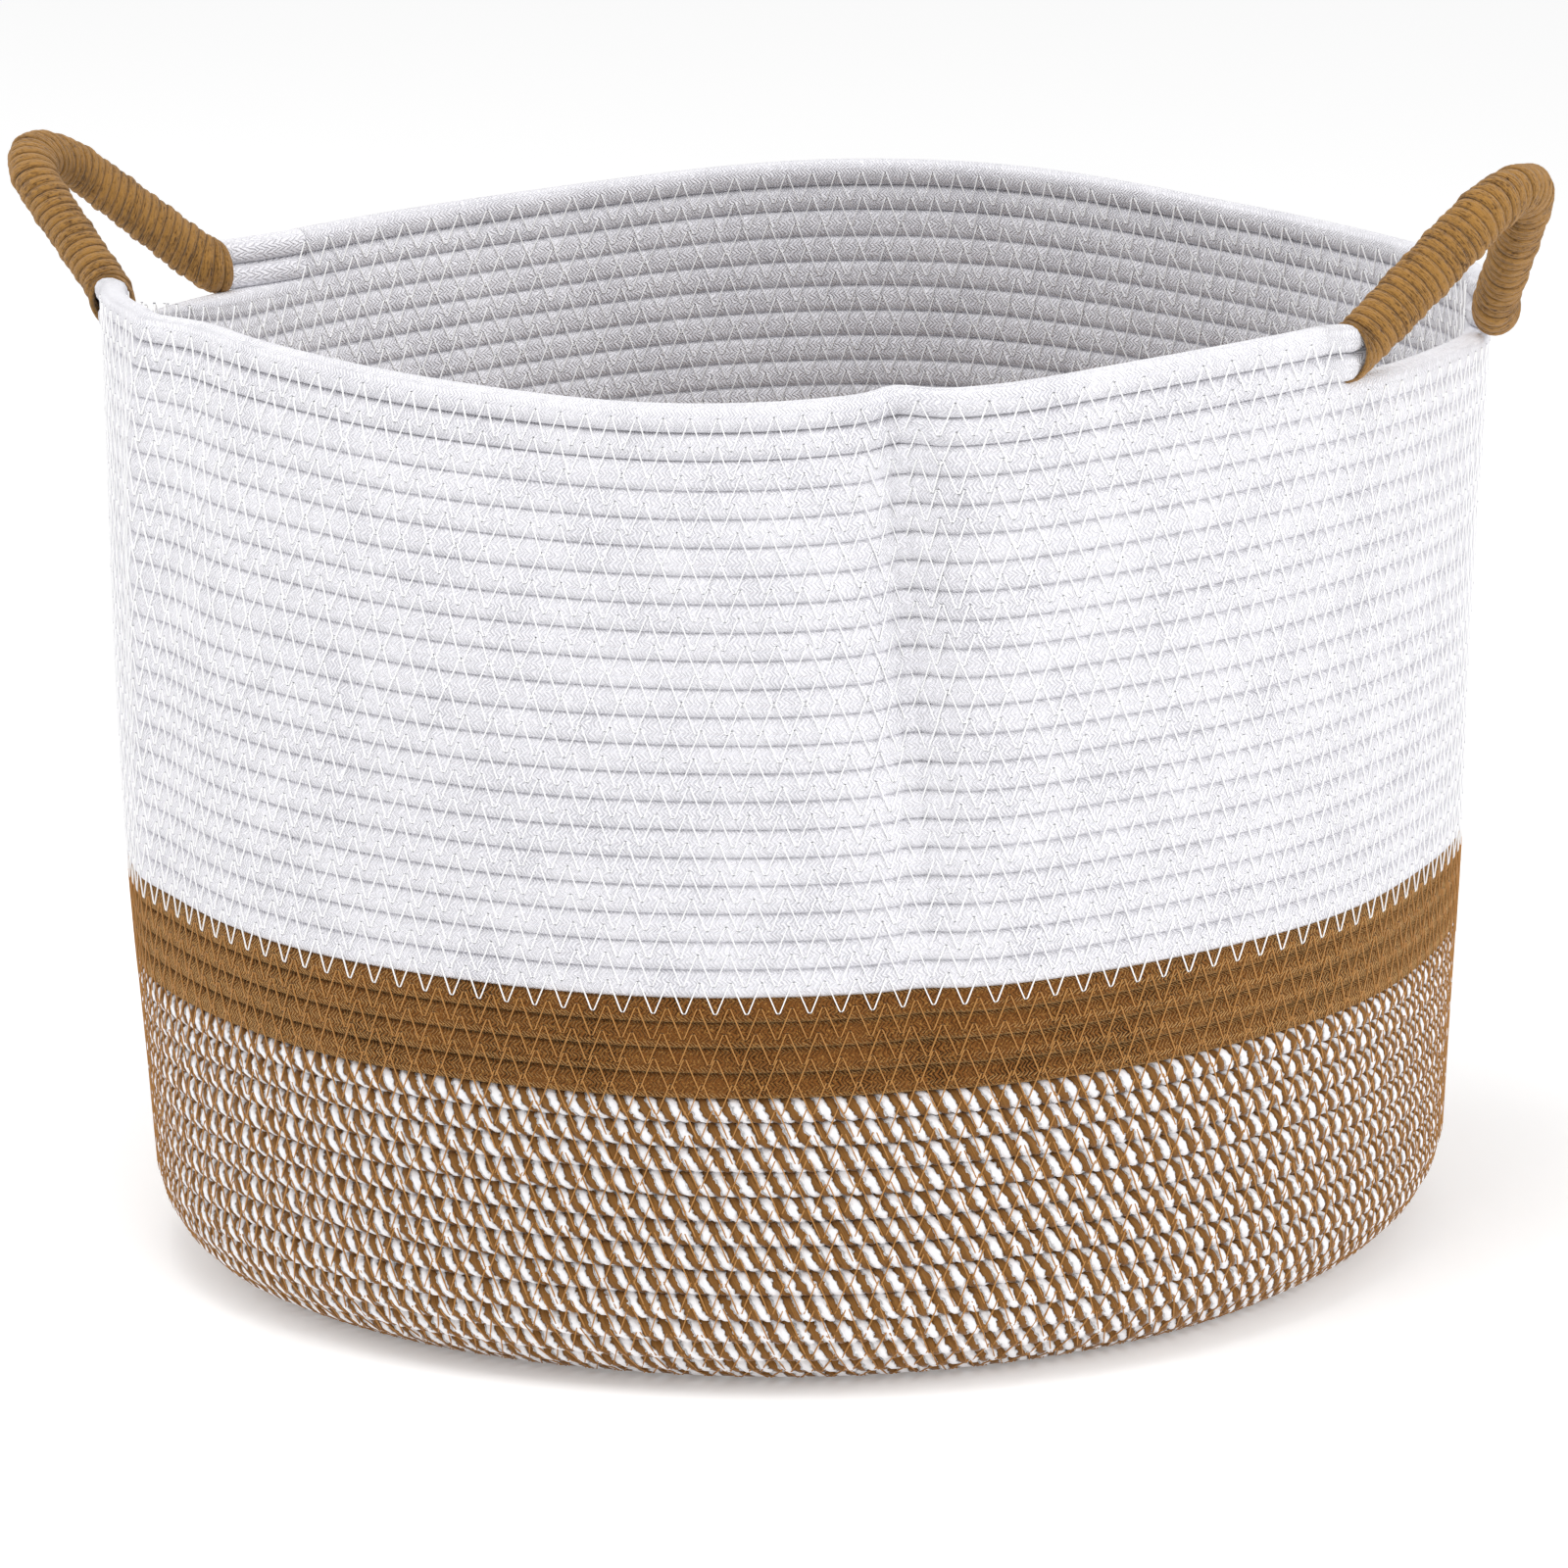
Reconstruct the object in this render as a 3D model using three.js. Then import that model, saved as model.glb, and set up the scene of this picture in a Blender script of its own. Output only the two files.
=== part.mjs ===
// Coiled cotton-rope laundry basket with two yarn-wrapped rope handles.
// Millimetres, +Z up. The origin is on the floor under the middle of the basket, and the two
// handles stand over +X and -X.
import * as THREE from 'three';
import { mergeVertices } from 'three/addons/utils/BufferGeometryUtils.js';

// ---- Rope and courses ----
const ropeThickness = 9.6; // through the wall
const whitePitch = 9.75; // from one turn of rope to the next up the wall
const brownPitch = 9;
const brownCourses = 4;
const whiteCourses = 19;
const rimCourses = 2;
const jointGap = 0.3; // between pieces that touch

// ---- Outline of the basket, outside sizes, measured from its axis ----
const cornerRadius = 38; // where the floor turns up into the wall
const lowerBandTop = 110; // top of the two-tone rope
const baseHalfLength = 232; // along X, just above the corner
const baseHalfWidth = 240; // along Y
const bellyHalfWidth = 242; // along Y, at the top of the two-tone rope
const rimHalfLength = 254;
const rimHalfWidth = 206; // the handles pull the mouth long and narrow
const frontLeanPower = 1.6; // how late the front and back walls lean in
const bodySquareness = 2.1; // 2 is an ellipse
const rimSquareness = 2.2;

// ---- How the soft rim dips and lifts; the floor stays flat ----
const rimTilt = 5; // the wall stands higher at +X and lower at -X
const rimWave = 6.5; // three waves round the mouth
const rimWaveTurn = 55; // degrees
const liftPower = 1.5; // how quickly the waves die away down the wall

// ---- Handles ----
const rootAngle = 15; // degrees from the X axis to where the rim's ropes leave the wall
const handleRise = 69; // from the fold axis to the middle of the handle's top
const rootGap = 1.2; // between a handle's end and the rim, so that the handle can fold
const footBendRadius = 12; // where the ropes turn up out of the rim
const topBendRadius = 33;
const rightHandleLean = 41; // degrees outward from upright
const leftHandleLean = 58;
const handleRopeHalfHeight = 3.9; // the two ropes are pressed together by the wrapping
const handleRopeHalfWidth = 4.8;
const wrapClearance = 0.3;
const wrapThickness = 2;
const bareRope = 11; // rope that shows between a root and the yarn

// ---- Zigzag seams ----
const stitchLength = 9.8; // one V of the zigzag
const stitchReach = 5.7; // above and below the seam
const threadRadius = 0.4;
const threadGap = 0.3; // between the thread and the rope under it

// ---- How finely curves are faceted ----
const turnSteps = 60;
const wallSteps = 6;
const cornerSteps = 6;
const wrapSteps = 24;
const bareSteps = 2;
const wrapSides = 14;
const ropeSides = 8;
const rimSteps = 28;

// ---- Worked out from the sizes above ----
const halfRope = ropeThickness / 2;
const brownBandTop = lowerBandTop + brownCourses * brownPitch;
const whiteBandTop = brownBandTop + whiteCourses * whitePitch;
const rimTop = whiteBandTop + rimCourses * whitePitch;
const foldHeight = (whiteBandTop + rimTop) / 2;
const nominalRadius = baseHalfLength - halfRope;

const whiteRope = { color: 0xf0eff2, roughness: 0.92, metalness: 0 };
const brownRope = { color: 0xa8712f, roughness: 0.9, metalness: 0 };
const twoToneRope = { color: 0xcdb199, roughness: 0.9, metalness: 0 };
const brownYarn = { color: 0xb08446, roughness: 0.95, metalness: 0 };
const whiteThread = { color: 0xf7f6f4, roughness: 0.7, metalness: 0 };
const brownThread = { color: 0x8f5d28, roughness: 0.7, metalness: 0 };

const basket = new THREE.Group();

function addPiece(name, geometry, finish, parent = basket) {
  const mesh = new THREE.Mesh(geometry, new THREE.MeshStandardMaterial(finish));
  mesh.name = name;
  parent.add(mesh);
  return mesh;
}

function weld(geometry) {
  geometry.deleteAttribute('normal');
  geometry.deleteAttribute('uv');
  const welded = mergeVertices(geometry, 1e-4);
  welded.computeVertexNormals();
  return welded;
}

function share(from, to, value) {
  return THREE.MathUtils.clamp((value - from) / (to - from), 0, 1);
}

// How far the wall's courses rise above their level height.
function lift(angle, z) {
  const turn = THREE.MathUtils.degToRad(rimWaveTurn);
  const wave = rimTilt * Math.cos(angle) + rimWave * Math.cos(3 * angle + turn);
  return wave * share(cornerRadius, rimTop, z) ** liftPower;
}

// Distance from the axis to the middle of the wall, at a height and an angle in radians.
function wallRadius(angle, z) {
  const up = share(cornerRadius, rimTop, z);
  const belly = share(cornerRadius, lowerBandTop, z);
  const lean = share(lowerBandTop, rimTop, z);
  const halfLength = THREE.MathUtils.lerp(baseHalfLength, rimHalfLength, up) - halfRope;
  const belliedWidth = THREE.MathUtils.lerp(baseHalfWidth, bellyHalfWidth, belly);
  const lost = (bellyHalfWidth - rimHalfWidth) * lean ** frontLeanPower;
  const halfWidth = belliedWidth - lost - halfRope;
  const n = THREE.MathUtils.lerp(bodySquareness, rimSquareness, lean);
  const across = Math.abs(Math.cos(angle) / halfLength) ** n;
  const along = Math.abs(Math.sin(angle) / halfWidth) ** n;
  return (across + along) ** (-1 / n);
}

// Where the wall's middle crosses a plane at this distance along Y, near the X axis.
function angleAtPlane(planeY, z, offset) {
  let angle = Math.atan2(planeY, rimHalfLength);
  for (let i = 0; i < 30; i += 1) {
    angle = Math.asin(planeY / (wallRadius(angle, z) + offset));
  }
  return angle;
}

// The handles' roots: the same plane cuts the rim and ends the handles.
const rootRadians = THREE.MathUtils.degToRad(rootAngle);
const rootRadius = wallRadius(rootRadians, foldHeight);
const rootX = rootRadius * Math.cos(rootRadians);
const rootY = rootRadius * Math.sin(rootRadians);

// ---- Coiled rope of the floor and the wall ----

// Turns a section of (offset from the wall's middle, height) into a ring that follows the wall.
function coiledRing(section) {
  const outline = section.map(([offset, z]) => new THREE.Vector2(nominalRadius + offset, z));
  outline.push(outline[0].clone());
  const ring = new THREE.LatheGeometry(outline, turnSteps);
  ring.rotateX(Math.PI / 2);
  const places = ring.attributes.position;
  for (let i = 0; i < places.count; i += 1) {
    const x = places.getX(i);
    const y = places.getY(i);
    const z = places.getZ(i);
    const angle = Math.atan2(y, x);
    const radius = wallRadius(angle, z) + Math.hypot(x, y) - nominalRadius;
    places.setXYZ(i, radius * Math.cos(angle), radius * Math.sin(angle), z + lift(angle, z));
  }
  return weld(ring);
}

// A wall section between two heights: up the outside and down the inside.
function wallSection(bottom, top, steps) {
  const heights = Array.from({ length: steps + 1 }, (_, i) => bottom + ((top - bottom) * i) / steps);
  const outside = heights.map((z) => [halfRope, z]);
  const inside = heights.map((z) => [-halfRope, z]).reverse();
  return [...outside, ...inside];
}

// The corner's two arcs share one centre, so the wall keeps its thickness round the bend.
function cornerSection() {
  const centre = halfRope - cornerRadius;
  const innerRadius = cornerRadius - ropeThickness;
  const turns = Array.from({ length: cornerSteps + 1 }, (_, i) => (i / cornerSteps) * (Math.PI / 2));
  const arc = (radius) =>
    turns.map((turn) => [centre + radius * Math.sin(turn), cornerRadius - radius * Math.cos(turn)]);
  const wallHeights = [1 / 3, 2 / 3, 1].map(
    (up) => cornerRadius + (lowerBandTop - jointGap - cornerRadius) * up,
  );
  const outside = wallHeights.map((z) => [halfRope, z]);
  const inside = wallHeights.map((z) => [-halfRope, z]).reverse();
  return [...arc(cornerRadius), ...outside, ...inside, ...arc(innerRadius).reverse()];
}

// The floor is one flat coil, a gap short of where the corner starts.
function floorCoil() {
  const radius = nominalRadius + halfRope - cornerRadius - jointGap;
  const outline = [
    new THREE.Vector2(0, 0),
    new THREE.Vector2(radius, 0),
    new THREE.Vector2(radius, ropeThickness),
    new THREE.Vector2(0, ropeThickness),
  ];
  const floor = new THREE.LatheGeometry(outline, turnSteps);
  floor.rotateX(Math.PI / 2);
  const places = floor.attributes.position;
  for (let i = 0; i < places.count; i += 1) {
    const x = places.getX(i);
    const y = places.getY(i);
    const angle = Math.atan2(y, x);
    const cornerStart = wallRadius(angle, 0) + halfRope - cornerRadius - jointGap;
    const grow = cornerStart / radius;
    places.setXY(i, x * grow, y * grow);
  }
  return weld(floor);
}

// Half of the rim, front or back: its two courses end on the planes of the handles' roots.
function rimHalf(side) {
  const bottom = whiteBandTop + jointGap;
  const box = new THREE.BoxGeometry(1, ropeThickness, rimTop - bottom, rimSteps, 1, rimCourses);
  box.translate(0, 0, (bottom + rimTop) / 2);
  const places = box.attributes.position;
  for (let i = 0; i < places.count; i += 1) {
    const along = places.getX(i) + 0.5;
    const offset = -side * places.getY(i);
    const z = places.getZ(i);
    const first = angleAtPlane(rootY + rootGap, z, offset);
    const turned = first + (Math.PI - 2 * first) * along;
    const radius = wallRadius(turned, z) + offset;
    const raised = z + lift(side * turned, z);
    places.setXYZ(i, radius * Math.cos(turned), side * radius * Math.sin(turned), raised);
  }
  return weld(box);
}

addPiece('base_coil', floorCoil(), twoToneRope);
addPiece('lower_band_coil', coiledRing(cornerSection()), twoToneRope);
addPiece('brown_band_coil', coiledRing(wallSection(lowerBandTop, brownBandTop - jointGap, 2)), brownRope);
addPiece('white_band_coil', coiledRing(wallSection(brownBandTop, whiteBandTop, wallSteps)), whiteRope);
addPiece('rim_coil_front', rimHalf(-1), whiteRope);
addPiece('rim_coil_back', rimHalf(1), whiteRope);

// ---- Zigzag thread that sews each course to the one below ----

// One closed strip: a triangular thread bent at each needle hole, outside the wall.
function zigzagThread(seamHeight) {
  const offset = halfRope + threadGap + threadRadius;
  const around = wallRadius(0, seamHeight) + wallRadius(Math.PI / 2, seamHeight);
  const stitches = Math.round((Math.PI * around) / stitchLength);
  const corners = 3;
  const ring = new THREE.TorusGeometry(1, 0.1, corners, stitches * 2);
  const places = ring.attributes.position;
  for (let j = 0; j <= corners; j += 1) {
    const roll = (j / corners) * 2 * Math.PI;
    for (let i = 0; i <= stitches * 2; i += 1) {
      const angle = (i / (stitches * 2)) * 2 * Math.PI;
      const up = i % 2 === 0 ? -stitchReach : stitchReach;
      const level = seamHeight + up;
      const z = level + lift(angle, level) + threadRadius * Math.sin(roll);
      const radius = wallRadius(angle, level) + offset + threadRadius * Math.cos(roll);
      const index = j * (stitches * 2 + 1) + i;
      places.setXYZ(index, radius * Math.cos(angle), radius * Math.sin(angle), z);
    }
  }
  return weld(ring);
}

addPiece('white_seam_thread', zigzagThread(brownBandTop), whiteThread);
addPiece('brown_seam_thread', zigzagThread(lowerBandTop), brownThread);

// ---- Handles: two ropes one over the other, wrapped together with yarn ----

// Half of a handle's arch is a bend up from the rim, a straight leg and half of the top bend.
// legAngle makes the two bends and the leg meet, at the handle's rise and half span.
const bothBends = footBendRadius + topBendRadius;
const legAngle =
  Math.atan2(rootY, bothBends - handleRise) -
  Math.acos(bothBends / Math.hypot(rootY, bothBends - handleRise));
const legLength = (rootY - bothBends * Math.sin(legAngle)) / Math.cos(legAngle);
const footArc = footBendRadius * legAngle;
const topArc = topBendRadius * legAngle;
const halfArch = footArc + legLength + topArc;
const ropeShift = handleRopeHalfHeight + jointGap / 2;

// Place and slope of the arch's middle line at a distance from the handle's top, which is
// positive towards +Y.
function archAt(fromTop) {
  const side = Math.sign(fromTop);
  const distance = Math.abs(fromTop);
  let slope = legAngle;
  let y = topBendRadius * Math.sin(legAngle);
  let down = topBendRadius * (1 - Math.cos(legAngle));
  if (distance <= topArc) {
    slope = distance / topBendRadius;
    y = topBendRadius * Math.sin(slope);
    down = topBendRadius * (1 - Math.cos(slope));
  } else if (distance <= topArc + legLength) {
    y += (distance - topArc) * Math.cos(legAngle);
    down += (distance - topArc) * Math.sin(legAngle);
  } else {
    slope = (halfArch - distance) / footBendRadius;
    y = rootY - footBendRadius * Math.sin(slope);
    down = handleRise - footBendRadius * (1 - Math.cos(slope));
  }
  return { y: side * y, z: handleRise - down, slope: -side * slope };
}

// Bends a straight bar of this section along the arch. The bar's stations past the yarn's
// ends are extra ones, so bars of both lengths have the same facets under the yarn.
function archBar(section, bareStations) {
  const wrapReach = halfArch - bareRope;
  const half = wrapSteps / 2;
  const steps = 2 * (half + bareStations);
  const bar = new THREE.ExtrudeGeometry(section, { steps, depth: steps, bevelEnabled: false });
  const places = bar.attributes.position;
  for (let i = 0; i < places.count; i += 1) {
    const station = places.getZ(i) - steps / 2;
    const wrapped = THREE.MathUtils.clamp(station, -half, half);
    const beyond = station - wrapped;
    const bare = bareStations ? (beyond / bareStations) * bareRope : 0;
    const { y, z, slope } = archAt((wrapped / half) * wrapReach + bare);
    const outward = places.getX(i);
    const width = places.getY(i);
    places.setXYZ(i, width, y - outward * Math.sin(slope), z + outward * Math.cos(slope));
  }
  return weld(bar);
}

// The outline round both ropes, this far outside them: an oval drawn out by the ropes' spacing.
function roundBothRopes(clear) {
  const ring = new THREE.EllipseCurve(
    0, 0, handleRopeHalfHeight + clear, handleRopeHalfWidth + clear, 0, 2 * Math.PI,
  );
  const points = ring.getPoints(wrapSides).slice(0, -1);
  points.forEach((point) => point.setX(point.x + Math.sign(point.x) * ropeShift));
  return points;
}

function handleRope(shift) {
  const ring = new THREE.EllipseCurve(
    shift, 0, handleRopeHalfHeight, handleRopeHalfWidth, 0, 2 * Math.PI,
  );
  return archBar(new THREE.Shape(ring.getPoints(ropeSides).slice(0, -1)), bareSteps);
}

function handleWrap() {
  const section = new THREE.Shape(roundBothRopes(wrapClearance + wrapThickness));
  section.holes.push(new THREE.Path(roundBothRopes(wrapClearance)));
  return archBar(section, 0);
}

// side is +1 for the right handle and -1 for the left. The fold axis runs through the two
// roots, which the rim's waves hold at different heights, and the handle leans outward.
function handle(name, side, lean) {
  const rootLift = (end) => {
    const root = end * rootRadians;
    return lift(side > 0 ? root : Math.PI - root, foldHeight);
  };
  const middle = (rootLift(1) + rootLift(-1)) / 2;
  const group = new THREE.Group();
  addPiece(`${name}_upper_rope`, handleRope(ropeShift), whiteRope, group);
  addPiece(`${name}_lower_rope`, handleRope(-ropeShift), whiteRope, group);
  addPiece(`${name}_wrap`, handleWrap(), brownYarn, group);
  group.position.set(side * rootX, 0, foldHeight + middle);
  group.rotation.x = Math.atan2(rootLift(1) - rootLift(-1), 2 * rootY);
  group.rotation.y = side * THREE.MathUtils.degToRad(lean);
  basket.add(group);
}

handle('right_handle', 1, rightHandleLean);
handle('left_handle', -1, leftHandleLean);

export default basket;
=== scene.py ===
import math

import bmesh
import bpy
import numpy as np
from mathutils import Matrix, Vector


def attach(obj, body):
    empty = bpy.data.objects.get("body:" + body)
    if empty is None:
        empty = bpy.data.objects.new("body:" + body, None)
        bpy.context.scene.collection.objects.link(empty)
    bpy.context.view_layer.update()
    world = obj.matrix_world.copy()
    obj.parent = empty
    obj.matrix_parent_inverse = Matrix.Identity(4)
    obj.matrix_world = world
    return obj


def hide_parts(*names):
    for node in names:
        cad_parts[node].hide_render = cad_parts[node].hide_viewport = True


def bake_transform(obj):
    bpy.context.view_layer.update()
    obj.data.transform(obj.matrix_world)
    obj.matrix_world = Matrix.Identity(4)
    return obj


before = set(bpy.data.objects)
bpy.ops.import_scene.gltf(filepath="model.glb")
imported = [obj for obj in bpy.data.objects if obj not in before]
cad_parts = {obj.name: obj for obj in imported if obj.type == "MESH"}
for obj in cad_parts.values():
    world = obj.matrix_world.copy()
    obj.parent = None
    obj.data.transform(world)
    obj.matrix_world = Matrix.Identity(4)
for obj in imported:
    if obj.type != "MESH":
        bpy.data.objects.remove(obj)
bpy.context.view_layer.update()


# ---- Studio: camera, floor and lights ----
# The basket stands on a plain white floor that runs back out of sight, with soft light from
# large panels on both sides and above, and is seen from a little above its front right.


def linear(code):
    """An sRGB colour such as "#F4F2F4" as linear RGBA."""
    parts = [int(code[i : i + 2], 16) / 255 for i in (1, 3, 5)]
    return [p / 12.92 if p <= 0.04045 else ((p + 0.055) / 1.055) ** 2.4 for p in parts] + [1]


def add_node(tree, kind, inputs, **settings):
    """Adds a shader node: inputs maps a socket to a value, or to the output that feeds it."""
    node = tree.nodes.new("ShaderNode" + kind)
    for name, value in settings.items():
        setattr(node, name, value)
    for socket, value in inputs.items():
        if isinstance(value, bpy.types.NodeSocket):
            tree.links.new(value, node.inputs[socket])
        else:
            node.inputs[socket].default_value = value
    return node


eye_turn, eye_height, eye_roll = math.radians(24), math.radians(13.6), math.radians(-0.9)
eye_distance = 4.0
back = Vector(
    (
        math.sin(eye_turn) * math.cos(eye_height),
        -math.cos(eye_turn) * math.cos(eye_height),
        math.sin(eye_height),
    )
)
level_right = Vector((math.cos(eye_turn), math.sin(eye_turn), 0))
level_up = back.cross(level_right)
eye_right = level_right * math.cos(eye_roll) + level_up * math.sin(eye_roll)
eye_up = level_up * math.cos(eye_roll) - level_right * math.sin(eye_roll)
eye = Vector((0, 0, 0.150)) + back * eye_distance - eye_right * 0.005 + eye_up * 0.012

camera = bpy.data.objects.new("camera", bpy.data.cameras.new("camera"))
camera.data.sensor_width = 36
camera.data.lens = 252
camera.data.clip_end = 60
camera.matrix_world = Matrix.Translation(eye) @ Matrix((eye_right, eye_up, back)).transposed().to_4x4()
bpy.context.collection.objects.link(camera)
bpy.context.scene.camera = camera
bpy.context.scene.view_settings.view_transform = "Standard"

studio_floor = bmesh.new()
bmesh.ops.create_circle(studio_floor, cap_ends=True, segments=64, radius=12)
floor_mesh = bpy.data.meshes.new("studio_floor")
studio_floor.to_mesh(floor_mesh)
studio_floor.free()
floor_piece = bpy.data.objects.new("studio_floor", floor_mesh)
bpy.context.collection.objects.link(floor_piece)
# Matt white board, lit a little from below as a shooting table is: it only shows the soft
# shadow under the basket.
white_board = bpy.data.materials.new("white_board")
white_board.use_nodes = True
board = white_board.node_tree.nodes["Principled BSDF"]
board.inputs["Base Color"].default_value = linear("#FCFCFC")
board.inputs["Roughness"].default_value = 0.9
board.inputs["Specular IOR Level"].default_value = 0
board.inputs["Emission Color"].default_value = (1, 1, 1, 1)
board.inputs["Emission Strength"].default_value = 0.18
floor_mesh.materials.append(white_board)

world = bpy.data.worlds.new("studio")
world.use_nodes = True
world.node_tree.nodes["Background"].inputs["Color"].default_value = (1, 1, 1, 1)
world.node_tree.nodes["Background"].inputs["Strength"].default_value = 0.71
bpy.context.scene.world = world

for name, place, size, watts in (
    ("left_panel", (-2.6, -0.1, 1.2), 1.6, 17),
    ("right_panel", (2.6, -0.2, 1.4), 1.6, 26),
    ("top_panel", (0.0, -0.5, 1.45), 0.8, 8),
):
    panel = bpy.data.objects.new(name, bpy.data.lights.new(name, "AREA"))
    panel.data.shape = "SQUARE"
    panel.data.size = size
    panel.data.energy = watts
    panel.location = place
    aim = Vector((0, 0, 0.15)) - panel.location
    panel.rotation_euler = aim.to_track_quat("-Z", "Y").to_euler()
    bpy.context.collection.objects.link(panel)


# ---- Floor coil ----
# The coil starts in the middle of the floor: one 9.6 mm cotton rope, twisted from brown and
# white strands, is wound flat, turn against turn, and sewn to itself.

rope_thickness = 0.0096
half_rope = rope_thickness / 2
corner_radius = 0.038
bend_radius = corner_radius - half_rope  # of the rope's middle, from the floor up to the wall
corner_length = bend_radius * math.pi / 2
lower_band_top = 0.110
base_half_length, base_half_width = 0.232, 0.240
belly_half_width = 0.242
rim_half_length, rim_half_width = 0.254, 0.206
rim_top = 0.35075
coil_start = math.radians(190)  # where each turn begins, under the left handle
step_up = 20 / 360  # part of a turn in which the rope climbs on to the next course
coloured_pitch, white_pitch = 0.009, 0.00975
first_white_seam = 38.5  # counted in turns from the floor's middle
floor_turns = 21
first_climb = -0.18635  # of the rope's very start, near the floor's middle


def share(low, high, value):
    return np.clip((value - low) / (high - low), 0, 1)


def near(angle, middle, width):
    """1 at an angle round the basket, in degrees, and dying away to both sides of it."""
    away = np.mod(np.degrees(angle) - middle + 180, 360) - 180
    return np.exp(-((away / width) ** 2))


def lift(angle, z):
    """How far the soft rim's three waves and tilt raise a level of the wall."""
    wave = 0.005 * np.cos(angle) + 0.0065 * np.cos(3 * angle + math.radians(55))
    return wave * share(corner_radius, rim_top, z) ** 1.5


def softness(angle, z):
    """Where the sewn wall gives in or out: a valley in front and a crease on the left."""
    height = share(0.10, 0.26, z)
    valley = -0.0110 * near(angle, -56, 2.4) - 0.0035 * near(angle, -58, 6)
    valley = valley + 0.0030 * near(angle, -47, 6)
    crease = 0.0035 * near(angle, -140, 3.0) - 0.0030 * near(angle, -133, 5)
    wander = 0.0010 * np.sin(5 * angle + 1.3 + 12 * z) + 0.0006 * np.sin(11 * angle + 30 * z)
    return (valley + crease) * height + wander * share(0, 0.1, z)


def wall_radius(angle, z):
    """From the basket's axis to the middle of the wall."""
    up = share(corner_radius, rim_top, z)
    lean = share(lower_band_top, rim_top, z)
    belly = share(corner_radius, lower_band_top, z)
    half_length = base_half_length + (rim_half_length - base_half_length) * up - half_rope
    belly_width = base_half_width + (belly_half_width - base_half_width) * belly
    half_width = belly_width - (belly_half_width - rim_half_width) * lean**1.6 - half_rope
    n = 2.1 + 0.1 * lean
    across = np.abs(np.cos(angle) / half_length) ** n
    along = np.abs(np.sin(angle) / half_width) ** n
    return (across + along) ** (-1 / n) + softness(angle, z)


def on_basket(angle, climb, out):
    """A point on the floor, corner or wall. climb is the way up the middle of the rope from
    where the corner starts, and is negative on the floor; out is from there outwards."""
    turn = np.clip(climb / bend_radius, 0, math.pi / 2)
    on_floor = np.minimum(climb, 0)
    z = corner_radius - bend_radius * np.cos(turn) + np.maximum(climb - corner_length, 0)
    middle = wall_radius(angle, np.maximum(z, corner_radius))
    flat = middle - bend_radius
    floor_scale = wall_radius(0, 0) - bend_radius
    radius = flat * (1 + on_floor / floor_scale) + (bend_radius + out) * np.sin(turn)
    up = z - out * np.cos(turn)
    height = up + lift(angle, up)
    return np.stack([radius * np.cos(angle), radius * np.sin(angle), height], axis=-1)


def course_at(turns):
    """Which course the rope lies in: it steps up by one under the left handle, except in the
    middle of the floor, where it winds outwards steadily."""
    whole = np.floor(turns)
    rise = share(1 - step_up, 1, turns - whole)
    stepped = whole + rise * rise * (3 - 2 * rise)
    steady = turns - 0.5 + step_up / 2
    return steady + (stepped - steady) * share(3, 11, turns)


def climb_to(course):
    """How far up the wall the middle of a course lies."""
    coloured = first_climb + coloured_pitch * np.minimum(course, first_white_seam)
    return coloured + white_pitch * np.maximum(course - first_white_seam, 0)


def rope_section(around, half_out, half_up, squareness):
    """The rope's outline, pressed square by the courses above and below it."""
    turn = 2 * math.pi * around
    across = np.abs(np.cos(turn) / half_out) ** squareness
    along = np.abs(np.sin(turn) / half_up) ** squareness
    radius = (across + along) ** (-1 / squareness)
    return radius * np.cos(turn), radius * np.sin(turn)


def cord_mesh(name, steps, sides, place, pattern, finish):
    """A sheet of steps by sides is rolled into a cord: place gives each point from its share
    along and around the cord, and pattern its UV."""
    cord = bmesh.new()
    cord.loops.layers.uv.new("Lay")
    bmesh.ops.create_grid(cord, x_segments=steps, y_segments=sides, size=0.5)
    mesh = bpy.data.meshes.new(name)
    cord.to_mesh(mesh)
    cord.free()
    flat = np.empty(len(mesh.vertices) * 3, np.float32)
    mesh.vertices.foreach_get("co", flat)
    flat = flat.reshape(-1, 3).astype(float) + 0.5
    mesh.vertices.foreach_set("co", place(flat[:, 0], flat[:, 1]).ravel())
    corners = np.empty(len(mesh.loops), np.int32)
    mesh.loops.foreach_get("vertex_index", corners)
    lay = np.stack(pattern(flat[:, 0], flat[:, 1]), axis=-1)[corners]
    mesh.uv_layers["Lay"].data.foreach_set("uv", lay.ravel())
    rolled = bmesh.new()
    rolled.from_mesh(mesh)
    bmesh.ops.remove_doubles(rolled, verts=rolled.verts, dist=1e-6)
    bmesh.ops.holes_fill(rolled, edges=rolled.edges, sides=0)
    bmesh.ops.recalc_face_normals(rolled, faces=rolled.faces)
    rolled.to_mesh(mesh)
    rolled.free()
    mesh.shade_smooth()
    mesh.materials.append(finish)
    piece = bpy.data.objects.new(name, mesh)
    bpy.context.collection.objects.link(piece)
    return piece


def length_along(angle, climb):
    """Distance along the rope to each of a row of places on it, in metres."""
    path = on_basket(angle, climb, 0)
    return np.concatenate([[0], np.cumsum(np.linalg.norm(np.diff(path, axis=0), axis=1))])


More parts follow.
